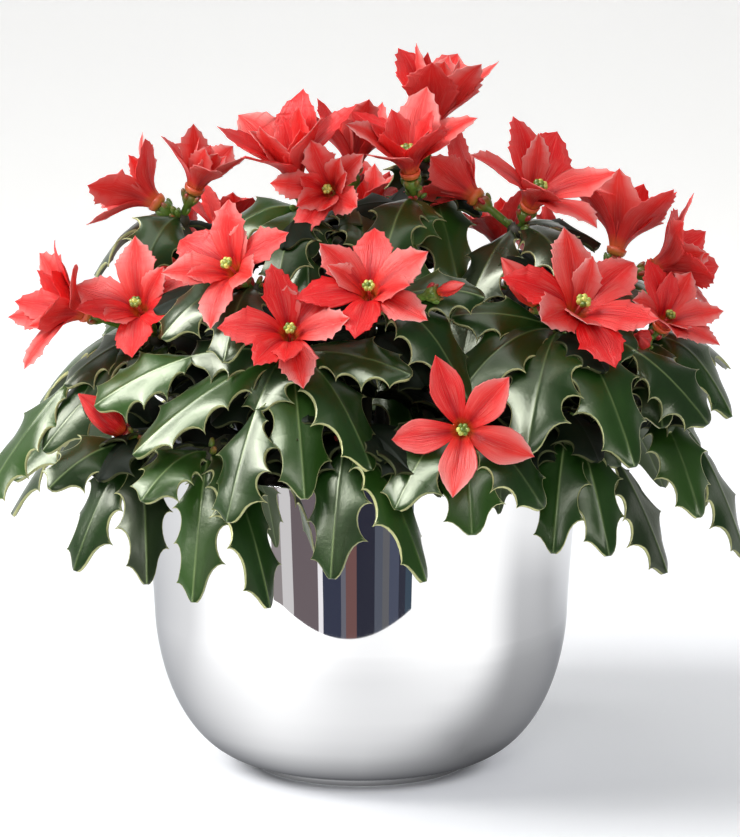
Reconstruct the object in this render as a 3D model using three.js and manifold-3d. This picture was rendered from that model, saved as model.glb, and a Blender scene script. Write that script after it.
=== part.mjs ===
// A christmas cactus in full bloom, in a polished steel bowl planter. Millimetres, +Z up, origin at the
// centre of the planter's flat underside, -Y towards the front.
//
// Every leafy stem is one green body: a stalk that stands in its own hole in the soil, a joint where its
// leaf segments meet, the toothed segments, and the calyx and style of each bloom it carries. A bloom is a
// red body threaded on that style: a short tube whose wall holds the roots of its petals.
import * as THREE from "three";
import { mergeVertices } from "three/addons/utils/BufferGeometryUtils.js";
import Module from "manifold-3d";

const wasm = await Module();
wasm.setup();

// ---------------------------------------------------------------- driving dimensions
const POT_HEIGHT = 150;
const RIM_RADIUS = 102;
const BELLY_RADIUS = 97; // where the curved bottom meets the straight, slightly flared wall
const BELLY_HEIGHT = 84;
const FOOT_RADIUS = 51;
const FOOT_HEIGHT = 4.5;
const FOOT_STEP = 1.2; // the foot stands proud of the bowl's lowest turn by this much
const WALL = 2;
const LIP = 0.8; // the sheet's edge is eased by this much at the rim and the foot
const POT_SIDES = 32;
const BOWL_FULLNESS = 0.95; // 1 is an elliptical bottom, less is squarer

const SOIL_EDGE = 137; // height of the soil at the wall
const SOIL_CROWN = 142; // and in the middle
const GAP = 0.4; // clearance between bodies that rest on or in each other
const SLIVER = 0.05; // detail smaller than this is smoothed away where shapes are joined

const STALK_RADIUS = 2.1;
const STALK_SIDES = 4;
const STALK_STEPS = 4;
const ROOT_DEPTH = 14;
const ROOT_CLEARANCE = 0.9;
const JOINT_RADIUS = 5;

const LEAF_RIB = 1.2; // height of a segment's rib over its line
const LEAF_KEEL = 0.12; // how far the margins hang below that line, as a share of the half width
const LEAF_ROOT = 2; // a leaf starts this far from the joint's centre
const TOOTH = 0.26; // height of a marginal tooth, as a share of the half width
const SPINE_LIFT = 0.1; // teeth turn up and down by turns, as a share of the half width
const TOOTH_PITCH = 19; // spacing of the teeth along a segment

const STUB_RADIUS = 1.8; // where the stub of a bloom leaves the joint
const CALYX_LENGTH = 6;
const CALYX_RADIUS = 3.8;
const STYLE_RADIUS = 0.7;
const STIGMA_RADIUS = 2.6;
const STIGMA_HEIGHT = 15; // above the calyx, on a bloom of size 1
const TUBE_RADIUS = 4.8;
const TUBE_BORE = 1.7;
const TUBE_LENGTH = 4;
const PETAL_LENGTH = 38;
const PETAL_WIDTH = 18;
const PETAL_THICKNESS = 1.8; // at its rib, which is on the outside
const BUD_LENGTH = 27;
const BUD_RADIUS = 6;

// ---------------------------------------------------------------- where everything grows
// A stem's head is the joint where its leaf segments, blooms and buds meet.
// A leaf: [tip x, y, z, arch, width, roll in degrees, segments]. arch lifts the middle of the leaf's line.
// A bloom: [heading, pitch, stalk, size, opening, twist, petals], angles in degrees. It faces that way.
// A bud: [heading, pitch, stalk, size].
const STEMS = [
  // front, upper tier
  { name: "stem_front_left", head: [-31, -98, 208],
    leaves: [[-56, -138, 142, 12, 36, 10, 2], [-24, -138, 152, 8, 34, 0, 1], [4, -136, 164, 10, 38, -4, 1],
      [22, -120, 202, 4, 32, 36, 1], [-116, -92, 184, 10, 34, -42, 2], [-98, -114, 166, 6, 32, -30, 1]],
    blooms: [[-88, 38, 8, 0.86, 78, 10, 6]], buds: [] },
  { name: "stem_front_mid", head: [5, -92, 226],
    leaves: [[54, -94, 232, 6, 32, 34, 1], [46, -114, 190, 14, 36, 20, 1]],
    blooms: [[-95, 42, 4, 0.9, 78, 100, 6]], buds: [[-20, 20, 26, 0.5]] },
  { name: "stem_front_low", head: [44, -110, 178],
    leaves: [[16, -142, 148, 8, 38, -14, 1], [48, -136, 136, 8, 38, 4, 1], [78, -130, 146, 6, 34, 22, 1]],
    blooms: [[-90, 10, 6, 0.92, 84, 62, 5]], buds: [] },
  { name: "stem_front_right", head: [89, -75, 214],
    leaves: [[38, -114, 184, 12, 38, -24, 1], [72, -126, 170, 12, 42, 0, 1], [40, -84, 222, 4, 32, -34, 1],
      [152, -92, 176, 12, 36, 36, 2], [118, -118, 162, 12, 38, 14, 1]],
    blooms: [[-62, 44, 4, 1.12, 74, 35, 6]], buds: [[-150, 50, 14, 1.0]] },
  { name: "stem_left_front", head: [-47, -80, 234],
    leaves: [[-86, -92, 214, 8, 32, -34, 1], [-58, -118, 208, 8, 32, 0, 1]],
    blooms: [[-126, 38, 6, 0.92, 74, 26, 6]], buds: [] },
  { name: "stem_left", head: [-92, -45, 208],
    leaves: [[-172, -52, 128, 18, 33, -26, 2], [-146, -16, 172, 12, 32, -20, 1],
      [-134, -56, 160, 12, 30, -10, 1]],
    blooms: [[-112, 42, 11, 0.9, 74, 15, 6], [-164, 22, 26, 1.0, 58, 25, 6]], buds: [] },
  // front, lower tier
  { name: "stem_low_left", head: [-98, -72, 163],
    leaves: [[-126, -90, 110, 8, 30, -12, 1], [-136, -106, 150, 6, 28, -34, 1],
      [-94, -108, 108, 8, 28, -14, 1]],
    blooms: [], buds: [[-150, 42, 6, 1.0]] },
  { name: "stem_low_left_front", head: [-66, -98, 164],
    leaves: [[-72, -126, 104, 8, 29, 4, 1], [-40, -138, 104, 14, 33, -4, 1], [-94, -124, 148, 6, 31, -20, 1]],
    blooms: [], buds: [] },
  { name: "stem_low_mid", head: [-6, -112, 170],
    leaves: [[-12, -142, 118, 10, 33, 4, 1], [27, -140, 116, 12, 32, 0, 1]],
    blooms: [], buds: [] },
  { name: "stem_low_right_front", head: [92, -84, 176],
    leaves: [[84, -118, 124, 8, 30, -6, 1], [108, -114, 122, 8, 31, 10, 1], [134, -94, 110, 14, 34, 20, 2]],
    blooms: [], buds: [] },
  { name: "stem_low_right", head: [132, -32, 172],
    leaves: [[152, -60, 128, 8, 32, 14, 1], [174, -40, 106, 16, 34, 18, 2], [160, -2, 122, 8, 30, 12, 1]],
    blooms: [], buds: [] },
  { name: "stem_right", head: [128, -45, 205],
    leaves: [[166, -50, 172, 12, 33, 30, 1], [168, -8, 188, 8, 31, 20, 1], [134, -76, 172, 8, 32, 14, 1]],
    blooms: [[-50, 44, 6, 0.8, 64, 12, 6]], buds: [[-96, 16, 6, 0.7]] },
  // crown
  { name: "stem_crown_left", head: [-82, -18, 258],
    leaves: [[-98, -50, 238, 6, 32, -30, 1], [-122, 8, 228, 10, 30, -12, 1]],
    blooms: [[168, 36, 5, 0.95, 58, 5, 6], [-30, 64, 8, 0.8, 42, 40, 5]], buds: [] },
  { name: "stem_crown_mid_left", head: [-26, -38, 264],
    leaves: [[-36, -82, 236, 8, 32, -6, 1], [-62, -40, 250, 6, 30, -32, 1], [-22, -66, 190, 18, 30, 0, 2]],
    blooms: [[-125, 70, 7, 1.15, 48, 15, 6]], buds: [] },
  { name: "stem_crown_low", head: [-4, -10, 262],
    leaves: [[2, -54, 248, 6, 30, 0, 1]],
    blooms: [[80, 80, 10, 0.98, 46, 15, 6], [-104, 18, 32, 0.72, 60, 0, 5]], buds: [] },
  { name: "stem_crown_mid", head: [24, -34, 268],
    leaves: [[10, -78, 244, 8, 30, -8, 1], [22, -76, 198, 18, 32, 0, 2]],
    blooms: [[-110, 70, 6, 1.1, 54, 35, 6]], buds: [] },
  { name: "stem_crown_top", head: [28, 8, 280],
    leaves: [[22, 44, 262, 6, 30, 8, 1]],
    blooms: [[-20, 78, 7, 1.2, 32, 0, 6]], buds: [] },
  { name: "stem_crown_right", head: [70, -38, 256],
    leaves: [[96, -66, 236, 6, 32, 20, 1], [106, -20, 244, 6, 30, 10, 1]],
    blooms: [[-50, 54, 6, 1.1, 66, 22, 6], [150, 34, 16, 0.9, 48, 10, 5]], buds: [] },
  { name: "stem_right_back", head: [112, -18, 228],
    leaves: [[150, 2, 204, 8, 32, 18, 1], [126, -56, 218, 4, 24, 0, 1], [126, 36, 198, 10, 38, 3, 1]],
    blooms: [[40, 68, 8, 1.12, 44, 0, 6], [-8, 22, 14, 1.0, 58, 30, 6]], buds: [] },
  // back, lower tier
  { name: "stem_back_low_right", head: [110, 46, 168],
    leaves: [[164, 38, 120, 10, 40, 0, 1], [148, 84, 114, 10, 40, 0, 1], [108, 100, 128, 8, 38, 0, 1]],
    blooms: [], buds: [] },
  { name: "stem_back_low_mid_right", head: [60, 96, 170],
    leaves: [[100, 134, 110, 10, 40, 0, 1], [60, 150, 112, 10, 40, 0, 1], [30, 134, 136, 6, 38, 0, 1]],
    blooms: [], buds: [] },
  { name: "stem_back_low_mid", head: [-6, 116, 166],
    leaves: [[22, 156, 118, 10, 38, 0, 1], [-16, 164, 106, 10, 40, 0, 1], [-46, 144, 124, 8, 38, 0, 1]],
    blooms: [[94, 30, 6, 0.94, 78, 0, 5]], buds: [] },
  { name: "stem_back_low_mid_left", head: [-72, 92, 168],
    leaves: [[-72, 148, 110, 10, 40, 0, 1], [-112, 124, 112, 10, 40, 0, 1]],
    blooms: [], buds: [] },
  { name: "stem_back_low_left", head: [-112, 40, 166],
    leaves: [[-146, 86, 116, 10, 40, 0, 1], [-166, 42, 108, 10, 40, 0, 1], [-162, 6, 132, 8, 38, 0, 1]],
    blooms: [], buds: [] },
  // back, upper tier
  { name: "stem_back_right", head: [72, 44, 216],
    leaves: [[126, 62, 172, 14, 42, 0, 1], [88, 104, 168, 14, 42, 0, 1], [42, 94, 196, 8, 38, 0, 1],
      [118, 14, 196, 8, 36, 0, 1]],
    blooms: [[38, 30, 6, 0.96, 74, 0, 5], [140, 74, 12, 0.9, 48, 20, 5]], buds: [] },
  { name: "stem_back_mid", head: [2, 66, 228],
    leaves: [[30, 124, 176, 14, 42, 0, 1], [-34, 120, 180, 14, 42, 0, 1], [36, 26, 240, 8, 36, 0, 1],
      [-30, 28, 240, 8, 36, 0, 1]],
    blooms: [[88, 32, 6, 0.96, 74, 0, 5], [-80, 74, 12, 0.9, 46, 20, 5]], buds: [] },
  { name: "stem_back_left", head: [-70, 46, 218],
    leaves: [[-122, 64, 174, 14, 42, 0, 1], [-86, 106, 168, 14, 42, 0, 1], [-120, 18, 198, 8, 36, 0, 1]],
    blooms: [[138, 26, 7, 0.96, 74, 0, 5], [40, 74, 12, 0.9, 44, 20, 5]], buds: [] },
];

// ---------------------------------------------------------------- small vector helpers
const UP = new THREE.Vector3(0, 0, 1);
const vec = (p) => new THREE.Vector3(...p);
const radians = THREE.MathUtils.degToRad;

function direction(heading, pitch) {
  const h = radians(heading);
  const p = radians(pitch);
  return new THREE.Vector3(Math.cos(h) * Math.cos(p), Math.sin(h) * Math.cos(p), Math.sin(p));
}

// The level direction to the right of t, and the one above it, both turned about t by roll.
function sideAndOver(t, roll) {
  const side = new THREE.Vector3().crossVectors(t, UP);
  if (side.lengthSq() < 1e-6) side.set(1, 0, 0);
  side.normalize().applyAxisAngle(t, radians(roll));
  return [side, new THREE.Vector3().crossVectors(side, t).normalize()];
}

const at = (origin, side, a, over, b) => origin.clone().addScaledVector(side, a).addScaledVector(over, b);

// ---------------------------------------------------------------- solids
// A closed body through rings of points, from a flat first ring to a tip point.
function loft(rings, tip) {
  const n = rings[0].length;
  const points = rings.flat();
  const triangles = [];
  for (let i = 1; i < n - 1; i++) triangles.push(0, i, i + 1);
  for (let k = 0; k + 1 < rings.length; k++)
    for (let i = 0; i < n; i++) {
      const a = k * n + i;
      const b = k * n + ((i + 1) % n);
      // the diagonals leave the outer corners of a blade's ring, alike above and below
      if (i % 2 === 0) triangles.push(a, a + n, b + n, a, b + n, b);
      else triangles.push(a, a + n, b, a + n, b + n, b);
    }
  const last = (rings.length - 1) * n;
  points.push(tip);
  for (let i = 0; i < n; i++) triangles.push(last + i, points.length - 1, last + ((i + 1) % n));
  return new THREE.BufferGeometry().setFromPoints(points).setIndex(triangles);
}

// A tube along a curve, its section a regular polygon.
function tube(curve, radius, sides, steps) {
  const corners = Array.from({ length: sides }, (_, i) => {
    const a = (2 * Math.PI * i) / sides;
    return new THREE.Vector2(radius * Math.cos(a), radius * Math.sin(a));
  });
  return new THREE.ExtrudeGeometry(new THREE.Shape(corners), { extrudePath: curve, steps });
}

function solid(geometry) {
  const g = geometry.index ? geometry.clone() : geometry;
  g.deleteAttribute("normal");
  g.deleteAttribute("uv");
  const merged = mergeVertices(g, 1e-4);
  const made = new wasm.Manifold(
    new wasm.Mesh({
      numProp: 3,
      vertProperties: new Float32Array(merged.attributes.position.array),
      triVerts: new Uint32Array(merged.index.array),
    }),
  );
  if (made.volume() < 0) throw new Error("a solid is inside out");
  return made;
}

// One body from several. A pinhole sealed inside where blades cross is filled, and nothing else may drop off.
function fuse(geometries) {
  const whole = geometries.map(solid).reduce((sum, part) => sum.add(part)).simplify(SLIVER);
  const shells = whole.decompose().sort((a, b) => b.volume() - a.volume());
  if (shells.slice(1).some((shell) => shell.volume() > 1)) throw new Error("a piece isn't joined");
  return shells[0];
}

function meshOf(name, made, material) {
  const { vertProperties, triVerts } = made.getMesh();
  const g = new THREE.BufferGeometry();
  g.setAttribute("position", new THREE.BufferAttribute(new Float32Array(vertProperties), 3));
  g.setIndex(new THREE.BufferAttribute(new Uint32Array(triVerts), 1));
  const mesh = new THREE.Mesh(g, material);
  mesh.name = name;
  return mesh;
}

// ---------------------------------------------------------------- leaf segments
// A segment widens slowly from its narrow base and rounds off quickly to its tip.
function outline(u) {
  const rise = THREE.MathUtils.smoothstep(u, -0.12, 0.5);
  const fall = Math.sqrt(1 - Math.max(0, (u - 0.45) / 0.55) ** 2);
  return rise * fall;
}

// Half width of a segment's margin at u along it. side is 0 or 1: the teeth of the two sides alternate.
function margin(u, side, width, teeth) {
  const half = width / 2;
  const body = half * (1 - TOOTH) * outline(u);
  const phase = (u * (teeth + 0.5) + 0.5 * side) % 1;
  const fade = Math.min(1, u * 6, (1 - u) * 5);
  return body + half * TOOTH * fade * Math.abs(2 * phase - 1) ** 2.2;
}

// A toothed blade along the quadratic curve a, b, c. The ring of each station is right margin, rib, left
// margin: the underside is flat from margin to margin.
function segment(a, b, c, width, roll) {
  const curve = new THREE.QuadraticBezierCurve3(a, b, c);
  const teeth = Math.max(3, Math.round(curve.getLength() / TOOTH_PITCH));
  const stations = 2 * teeth + 1;
  const rings = [];
  for (let k = 0; k < stations; k++) {
    const u = k / stations;
    const p = curve.getPoint(u);
    const [side, over] = sideAndOver(curve.getTangent(u), roll);
    const wide = [margin(u, 0, width, teeth), margin(u, 1, width, teeth)];
    const lift = (k % 4 < 2 ? 1 : -1) * SPINE_LIFT;
    rings.push([
      at(p, side, wide[0], over, wide[0] * (lift - LEAF_KEEL)),
      at(p, side, 0, over, LEAF_RIB),
      at(p, side, -wide[1], over, wide[1] * (-lift - LEAF_KEEL)),
    ]);
  }
  return loft(rings, c);
}

// A leaf is a chain of one or two segments on one arched line from the joint's surface to the tip.
function leaf(head, [x, y, z, arch, width, roll, segments]) {
  const tip = new THREE.Vector3(x, y, z);
  const control = head.clone().add(tip).multiplyScalar(0.5).addScaledVector(UP, arch * 2);
  const base = head.clone().addScaledVector(control.clone().sub(head).normalize(), LEAF_ROOT);
  if (segments === 1) return [segment(base, control, tip, width, roll)];
  const ab = base.clone().add(control).multiplyScalar(0.5);
  const bc = control.clone().add(tip).multiplyScalar(0.5);
  const mid = ab.clone().add(bc).multiplyScalar(0.5);
  const start = mid.clone().lerp(ab, 0.12);
  return [segment(base, ab, mid, width, roll), segment(start, bc, tip, width, roll)];
}

// ---------------------------------------------------------------- stalks
// The upper stems stand nearer the middle of the soil, so that the lower ones pass outside them.
function stalkCurve(head) {
  const share = THREE.MathUtils.clamp(0.64 - 0.003 * (head.z - 165), 0.32, 0.64);
  const foot = new THREE.Vector3(share * head.x, share * head.y, SOIL_EDGE - ROOT_DEPTH);
  const outward = new THREE.Vector3(head.x, head.y, 0).normalize();
  const rise = 0.55 * (head.z - foot.z);
  const over = THREE.MathUtils.clamp(0.8 * (196 - head.z), -40, 20);
  const bend = head.clone().addScaledVector(outward, -20).addScaledVector(UP, over);
  return new THREE.CubicBezierCurve3(foot, foot.clone().addScaledVector(UP, rise), bend, head);
}

const stalk = (head, radius) => tube(stalkCurve(head), radius, STALK_SIDES, STALK_STEPS);

// ---------------------------------------------------------------- blooms and buds
// Where a bloom or bud sits: the top of its calyx, its axis, and two directions across the axis.
function seat(head, [heading, pitch, stalkLength]) {
  const axis = direction(heading, pitch);
  const [across, over] = sideAndOver(axis, 0);
  const base = head.clone().addScaledVector(axis, stalkLength + CALYX_LENGTH);
  return { axis, across, over, base };
}

// A round body about the seat's axis, through [radius, height] pairs.
function turned(s, profile, sides) {
  const g = new THREE.LatheGeometry(profile.map(([r, h]) => new THREE.Vector2(r, h)), sides);
  return g.applyMatrix4(new THREE.Matrix4().makeBasis(s.across, s.axis, s.over).setPosition(s.base));
}

// The stub that carries a bloom or bud, its calyx and, in an open bloom, the style with its stigma.
function calyx(head, spec, open) {
  const [, , length, size] = spec;
  const foot = -length - CALYX_LENGTH;
  const top = STIGMA_HEIGHT * size;
  const cup = [[0, foot], [STUB_RADIUS, foot], [CALYX_RADIUS, -1.5], [CALYX_RADIUS - 0.4, 0]];
  const style = [[STYLE_RADIUS, 0], [STYLE_RADIUS, top - 3], [STIGMA_RADIUS, top - 1], [0, top]];
  return turned(seat(head, spec), [...cup, ...(open ? style : [[0, 0]])], 4);
}

// The line of a petal in the plane of its angle: radius and height from the seat, at t along it. It
// leaves the tube nearly along the axis and bends out to its opening angle.
function petalLine(length, opening) {
  const steps = 40;
  const line = [[2.6, 1.5, radians(8)]];
  for (let k = 1; k <= steps; k++) {
    const t = (k - 0.5) / steps;
    const bend = THREE.MathUtils.smoothstep(t, -0.15, 0.62);
    const angle = radians(8) + (radians(opening) - radians(8)) * bend;
    const [r, h] = line[k - 1];
    line.push([r + (length / steps) * Math.sin(angle), h + (length / steps) * Math.cos(angle), angle]);
  }
  return (t) => line[Math.round(t * steps)];
}

// Along a petal: [t, share of its width, share of its thickness].
const PETAL_STATIONS = [[0, 0.26, 0.5], [0.36, 0.74, 1], [0.7, 1, 1]];

function petal(s, size, opening, angle, sector) {
  const line = petalLine(PETAL_LENGTH * size, opening);
  const out = s.across.clone().multiplyScalar(Math.cos(angle)).addScaledVector(s.over, Math.sin(angle));
  const side = new THREE.Vector3().crossVectors(s.axis, out);
  const rings = PETAL_STATIONS.map(([t, share, solidity]) => {
    const [r, h, lean] = line(t);
    const inward = s.axis.clone().multiplyScalar(Math.sin(lean)).addScaledVector(out, -Math.cos(lean));
    const p = at(s.base, s.axis, h, out, r);
    const thick = 0.5 * PETAL_THICKNESS * solidity;
    const half = Math.min(0.5 * PETAL_WIDTH * size * share, (r - thick * Math.cos(lean)) * sector);
    const section = [[-half, thick], [half, thick], [0, -thick]];
    return section.map(([a, b]) => at(p, side, a, inward, b));
  });
  const [r, h] = line(1);
  return loft(rings, at(s.base, s.axis, h, out, r));
}

const WHORL_STEP = 20; // outer petals open this much wider than inner ones, in degrees
const PETAL_GAP = 0.93; // share of its sector about the bloom's axis that a petal may fill

// A bloom is fused about the Z axis, where its flat faces stay flat, and then set on its seat.
const UPRIGHT = {
  base: new THREE.Vector3(),
  axis: UP,
  across: new THREE.Vector3(1, 0, 0),
  over: new THREE.Vector3(0, -1, 0),
};

function bloom(head, spec) {
  const [, , , size, opening, twist, petals] = spec;
  const { across, axis, over, base } = seat(head, spec);
  const sector = PETAL_GAP * Math.tan(Math.PI / petals);
  const wall = [[TUBE_BORE, GAP], [TUBE_RADIUS, GAP], [TUBE_RADIUS, TUBE_LENGTH], [TUBE_BORE, TUBE_LENGTH]];
  const parts = [turned(UPRIGHT, [...wall, wall[0]], 6)];
  for (let i = 0; i < petals; i++) {
    const angle = radians(twist + (360 * i) / petals);
    parts.push(petal(UPRIGHT, size, opening + (i % 2 ? -0.5 : 0.5) * WHORL_STEP, angle, sector));
  }
  const place = new THREE.Matrix4().makeBasis(across, over.negate(), axis).setPosition(base);
  return fuse(parts).transform(place.elements);
}

const BUD_PROFILE = [[0.5, 0], [0.92, 0.25], [1, 0.55], [0.55, 0.82], [0, 1]]; // [radius, height] as shares

function bud(head, spec) {
  const size = spec[3];
  const profile = BUD_PROFILE.map(([r, h]) => [r * BUD_RADIUS * size, GAP + h * BUD_LENGTH * size]);
  return solid(turned(seat(head, spec), [[0, GAP], ...profile], 6));
}

// ---------------------------------------------------------------- planter and soil
// Outer radius of the bowl at t from 0 at the foot to 1 at the belly, and its height there.
function bowl(t, inset) {
  const a = (t * Math.PI) / 2;
  const start = FOOT_RADIUS - FOOT_STEP;
  const r = start + (BELLY_RADIUS - start) * Math.sin(a) ** BOWL_FULLNESS;
  const z = FOOT_HEIGHT + (BELLY_HEIGHT - FOOT_HEIGHT) * (1 - Math.cos(a) ** BOWL_FULLNESS);
  return new THREE.Vector2(r - inset * Math.sin(a) ** 0.6, z + inset * Math.cos(a));
}

function bowlLine(inset, steps) {
  return Array.from({ length: steps + 1 }, (_, k) => bowl(k / steps, inset));
}

function planter() {
  const shoulder = POT_HEIGHT - LIP;
  const foot = [[0, 0], [FOOT_RADIUS - LIP, 0], [FOOT_RADIUS, LIP], [FOOT_RADIUS, FOOT_HEIGHT - LIP]];
  const rim = [[RIM_RADIUS, shoulder], [RIM_RADIUS - LIP, POT_HEIGHT], [RIM_RADIUS - WALL, shoulder]];
  const profile = [
    ...foot.map(([r, z]) => new THREE.Vector2(r, z)),
    ...bowlLine(0, 6),
    ...rim.map(([r, z]) => new THREE.Vector2(r, z)),
    ...bowlLine(WALL, 3).reverse(),
    new THREE.Vector2(0, bowl(0, WALL).y),
  ];
  return new THREE.LatheGeometry(profile, POT_SIDES).rotateX(Math.PI / 2);
}

function soilBody() {
  const slope = (RIM_RADIUS - BELLY_RADIUS) / (POT_HEIGHT - BELLY_HEIGHT);
  const edge = BELLY_RADIUS - WALL - GAP + slope * (SOIL_EDGE - BELLY_HEIGHT);
  const profile = [
    new THREE.Vector2(0, bowl(0, WALL + GAP).y),
    ...bowlLine(WALL + GAP, 3),
    new THREE.Vector2(edge, SOIL_EDGE),
    new THREE.Vector2(0, SOIL_CROWN),
  ];
  return new THREE.LatheGeometry(profile, POT_SIDES / 2).rotateX(Math.PI / 2);
}

const rootHole = (head) => solid(stalk(head, STALK_RADIUS + ROOT_CLEARANCE).translate(0, 0, -GAP));

// ---------------------------------------------------------------- materials
const steel = new THREE.MeshStandardMaterial({ color: 0xe8eaec, roughness: 0.05, metalness: 1 });
const earth = new THREE.MeshStandardMaterial({ color: 0x2b1d13, roughness: 0.95, metalness: 0 });
const green = new THREE.MeshStandardMaterial({ color: 0x1d4a22, roughness: 0.25, metalness: 0 });
const red = new THREE.MeshStandardMaterial({ color: 0xe5352f, roughness: 0.5, metalness: 0 });

// ---------------------------------------------------------------- the plant
const plant = new THREE.Group();
plant.name = "potted_christmas_cactus";
plant.add(meshOf("planter", solid(planter()), steel));

let soil = solid(soilBody());
let bloomCount = 0;
let budCount = 0;
for (const stem of STEMS) {
  const head = vec(stem.head);
  const joint = new THREE.OctahedronGeometry(JOINT_RADIUS, 0).translate(...stem.head);
  const parts = [stalk(head, STALK_RADIUS), joint];
  for (const l of stem.leaves) parts.push(...leaf(head, l));
  for (const b of stem.blooms) {
    parts.push(calyx(head, b, true));
    bloomCount += 1;
    plant.add(meshOf(`bloom_${String(bloomCount).padStart(2, "0")}`, bloom(head, b), red));
  }
  for (const b of stem.buds) {
    parts.push(calyx(head, b, false));
    budCount += 1;
    plant.add(meshOf(`bud_${budCount}`, bud(head, b), red));
  }
  plant.add(meshOf(stem.name, fuse(parts), green));
  soil = soil.subtract(rootHole(head));
}
plant.add(meshOf("soil", soil, earth));

export default plant;
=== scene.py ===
"""A christmas cactus in full bloom, planted in a polished steel bowl.

Lengths are millimetres in the table and in every shape function, and metres from the meshes on. +Z is up,
-Y is the front. Each node of the frame is replaced by one finer piece of the same form.
"""
import math
from collections import namedtuple

import bpy
import numpy as np
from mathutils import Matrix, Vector


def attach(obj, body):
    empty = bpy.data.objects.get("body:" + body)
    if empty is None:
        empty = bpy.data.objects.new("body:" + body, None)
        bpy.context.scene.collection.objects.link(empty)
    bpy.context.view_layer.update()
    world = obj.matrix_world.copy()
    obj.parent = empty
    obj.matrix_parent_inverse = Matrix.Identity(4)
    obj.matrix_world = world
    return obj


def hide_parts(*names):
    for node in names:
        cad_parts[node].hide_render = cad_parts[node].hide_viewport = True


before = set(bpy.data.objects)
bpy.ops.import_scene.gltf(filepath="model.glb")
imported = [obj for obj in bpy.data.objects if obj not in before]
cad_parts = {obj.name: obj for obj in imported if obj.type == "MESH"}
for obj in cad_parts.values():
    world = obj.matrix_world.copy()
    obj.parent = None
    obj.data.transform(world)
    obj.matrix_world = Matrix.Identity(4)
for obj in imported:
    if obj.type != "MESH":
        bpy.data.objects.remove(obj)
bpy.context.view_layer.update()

MM = 0.001
SEED = 20241
TURN = 2 * np.pi

# ---- driving dimensions, as in the frame
POT_HEIGHT = 150
RIM_RADIUS = 102
BELLY_RADIUS = 97
BELLY_HEIGHT = 84
FOOT_RADIUS = 51
FOOT_HEIGHT = 4.5
FOOT_STEP = 1.2
WALL = 2
LIP = 0.8
BOWL_FULLNESS = 0.95
BELLY_BLEND = 12  # length over which the bowl's curve runs into the straight wall
BELLY_EASE = 6
SOIL_EDGE = 137
SOIL_CROWN = 142
GAP = 0.4

STALK_RADIUS = 2.1
ROOT_DEPTH = 14
JOINT_RADIUS = 4.2  # 5 in the frame
LEAF_RIB = 1.2
LEAF_KEEL = 0.12
LEAF_ROOT = 2

STUB_RADIUS = 1.8
CALYX_LENGTH = 6
CALYX_RADIUS = 3.8
STYLE_RADIUS = 0.7
STIGMA_RADIUS = 3.2  # 2.6 in the frame
STIGMA_HEIGHT = 15
PETAL_LENGTH = 38
PETAL_WIDTH = 18
WHORL_STEP = 20
BUD_LENGTH = 27
BUD_RADIUS = 6

# ---- finer detail of the leaves and petals
SPINE_PITCH = 11.5
SPINE_SHARE = 0.37  # height of the scallops, as a share of the half width
SPINE_LEAN = 2.2  # spines point this far towards the tip of the segment
SPINE_LIFT = 0.15  # they turn up and down by turns, as a share of the half width
SPINE_TURNS = {1: 0.5, -1: -0.4}  # where that turning starts on each side, in radians
SPINES_LEAST = 4
LEAF_SHOULDER = 0.45  # from this share of its length it narrows to its tip
LEAF_MID = 1.9  # thickness along the midrib
LEAF_RIM = 0.45
LEAF_END = 0.12  # half width of a segment's two ends
SEGMENT_OVERLAP = 0.12  # a second segment starts this far inside the first
EDGE_WIDTH = 0.6  # width of the pale line along a segment's margin
RIB_WIDTH = 0.6
RIB_HEIGHT = 0.35
RIB_KEEL = 0.6  # the rib stands out this far below
STALK_STEPS = 36
KNOTS = 10  # thicker rings along a stalk
KNOT_SWELL = 0.16
JOINT_BUDS = (3, 9)  # small buds on a bare joint, and on one with blooms
LOBES = 5  # of a calyx
KNOBS = 6  # of a stigma, round the one in its middle
INNER_PLACES = (0.45, 0.56, 0.66, 0.75, 0.83, 0.9, 0.96)  # shares along the stalk
INNER_LENGTH = 52
INNER_WIDTH = 36
INNER_ARCH = 5
INNER_LOW = (-160, -132, POT_HEIGHT + 2)  # the tips stay between these places
INNER_HIGH = (160, 150, 300)
# Segments that close gaps: [stem, share along its stalk, tip x, y, z, width, roll]
FILLERS = [
    ["crown_top", 1.0, 44, -26, 228, 36, 0],
    ["crown_right", 1.0, 48, -64, 222, 34, 0],
    ["crown_right", 0.75, 44, -62, 188, 36, 0],
    ["crown_mid", 0.5, 24, -62, 160, 38, 0],
    ["left", 0.85, -104, -84, 184, 34, 0],
    ["left", 0.97, -142, -60, 158, 34, -40],
    ["right_back", 0.9, 118, -52, 190, 36, 0],
    ["crown_left", 0.8, -64, -60, 214, 34, 0],
]
PETAL_MID = 0.9  # thickness along the middle
PETAL_RIM = 0.3
PETAL_SHOULDER = 0.56  # as for a leaf, and the length over which it narrows
PETAL_TAPER = 0.44
TEETH = 4  # on each side of a petal, towards its tip
TEETH_FROM = 0.58
TEETH_SPAN = 0.36
TOOTH_RISE = 0.07  # a tooth's slow side and its steep one, as shares of the petal's length
TOOTH_FALL = 0.014
WIDE_OPENING = 62  # a bloom that opens wider shows two inner petals instead of five
FLAT_OPENING = 80  # and one that opens wider still has none, and smoother petals
INNER_STEP = 26  # inner petals open this much less, in degrees
BUD_BEND = 2.0  # how far a bud's tip bends to one side
CRUMBS = 420

# Profiles, as [radius, height]
CALYX_CUP = [[2.6, -5], [3.5, -3.6], [CALYX_RADIUS, -2.2], [3.7, -0.8], [3.2, -0.1], [0.1, 0]]
TUBE_WALL = [[1.5, GAP], [2.6, GAP], [3.8, 1.0], [4.5, 2.2], [4.8, 4.0], [4.2, 4.2], [3.4, 3.0], [1.7, 1.4],
             [1.5, GAP]]
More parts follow.
